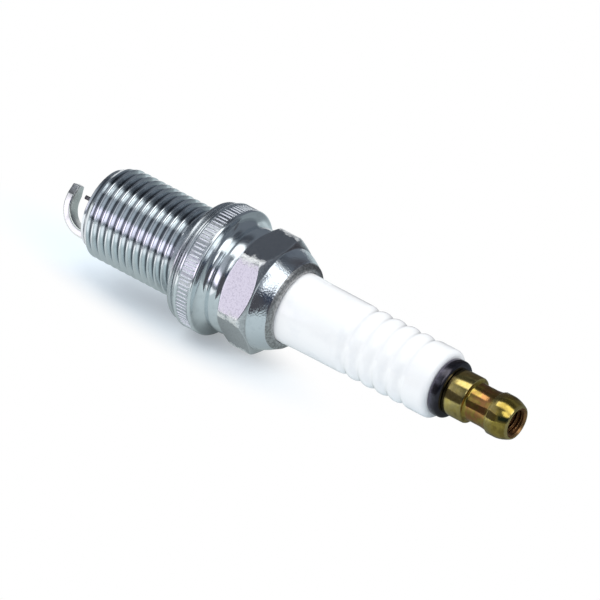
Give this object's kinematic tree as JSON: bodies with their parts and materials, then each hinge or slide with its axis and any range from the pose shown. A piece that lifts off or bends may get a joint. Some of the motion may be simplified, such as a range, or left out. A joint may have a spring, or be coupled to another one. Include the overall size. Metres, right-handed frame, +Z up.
{
  "type": "spark plug",
  "caption": "Threaded spark plug with a hexagon shell, ribbed ceramic insulator, hooked ground electrode, loose folded gasket and a screw-on terminal nut.",
  "frame": {"origin": "on the plug's axis, in the plane where the gasket seals on the cylinder head", "axes": "+X along the plug's axis towards the terminal, the firing end towards -X, +Z up with one hexagon flat facing down"},
  "size_m": [0.0786, 0.0192, 0.0192],
  "materials": {
    "plated_steel": "bright zinc plating over turned and rolled steel",
    "gasket_steel": "plated sheet steel, rolled and folded",
    "glazed_alumina": "clear gloss glaze on white alumina",
    "packing_steel": "drawn steel wire, dull",
    "copper": "soft copper, dull",
    "talc": "pressed powder, matt",
    "nickel_alloy": "drawn nickel alloy, satin",
    "weld_bead": "heat-tinted weld, rough",
    "tip_metal": "noble-metal wire, dull",
    "seal_glass": "fused metal-filled glass, opaque",
    "resistor_mix": "fused carbon and glass, opaque",
    "black_steel": "blackened steel, satin",
    "terminal_brass": "turned brass, lightly tarnished"
  },
  "bodies": {
    "plug_body": {"shell": "plated_steel", "insulator": "glazed_alumina", "seat_washer": "copper", "lower_packing_ring": "packing_steel", "talc_seal": "talc", "upper_packing_ring": "packing_steel", "centre_electrode": "nickel_alloy", "copper_core": "copper", "tip_weld": "weld_bead", "firing_tip": "tip_metal", "lower_glass_seal": "seal_glass", "resistor_element": "resistor_mix", "upper_glass_seal": "seal_glass", "terminal_stud": "black_steel", "ground_electrode": "nickel_alloy", "ground_weld": "weld_bead"},
    "gasket": {"crush_gasket": "gasket_steel"},
    "nut": {"terminal_nut": "terminal_brass"}
  },
  "joints": [
    {"name": "gasket_spin", "type": "hinge", "parent": "plug_body", "child": "gasket", "pos_m": [0.00077, 0, 0], "axis": [1, 0, 0], "continuous": true},
    {"name": "nut_unscrew", "type": "slide", "parent": "plug_body", "child": "nut", "axis": [1, 0, 0], "range_m": [0, 0.0084]}
  ]
}
